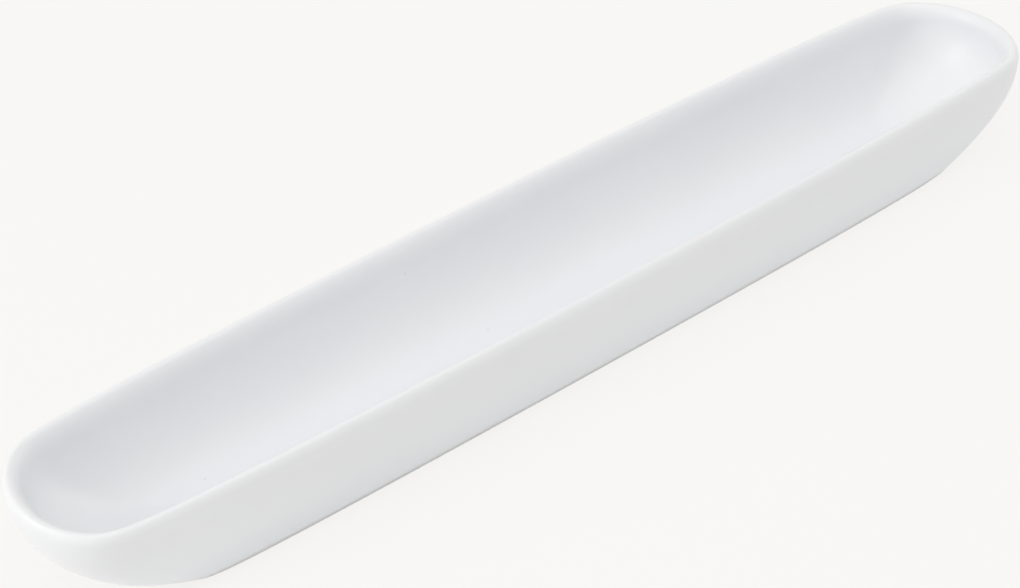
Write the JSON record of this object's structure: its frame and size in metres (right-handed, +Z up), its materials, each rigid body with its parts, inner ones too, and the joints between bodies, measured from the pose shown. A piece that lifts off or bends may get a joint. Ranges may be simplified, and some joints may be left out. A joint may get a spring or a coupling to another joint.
{
  "type": "asparagus plate",
  "caption": "Long narrow white porcelain serving dish with a deep rounded trough, upswept ends, a soft round lip and a bare foot ring, for laying out asparagus spears.",
  "frame": {"origin": "middle of the foot, on the table that the plate stands on", "axes": "+X along the plate, +Y across it, +Z up out of the trough"},
  "size_m": [0.36, 0.067, 0.037],
  "materials": {
    "bare_porcelain": "matte",
    "white_glaze": "gloss",
    "underside_glaze": "gloss"
  },
  "bodies": {
    "root": {"porcelain_body": "bare_porcelain", "glaze": "white_glaze", "underside_glaze": "underside_glaze"}
  },
  "joints": []
}
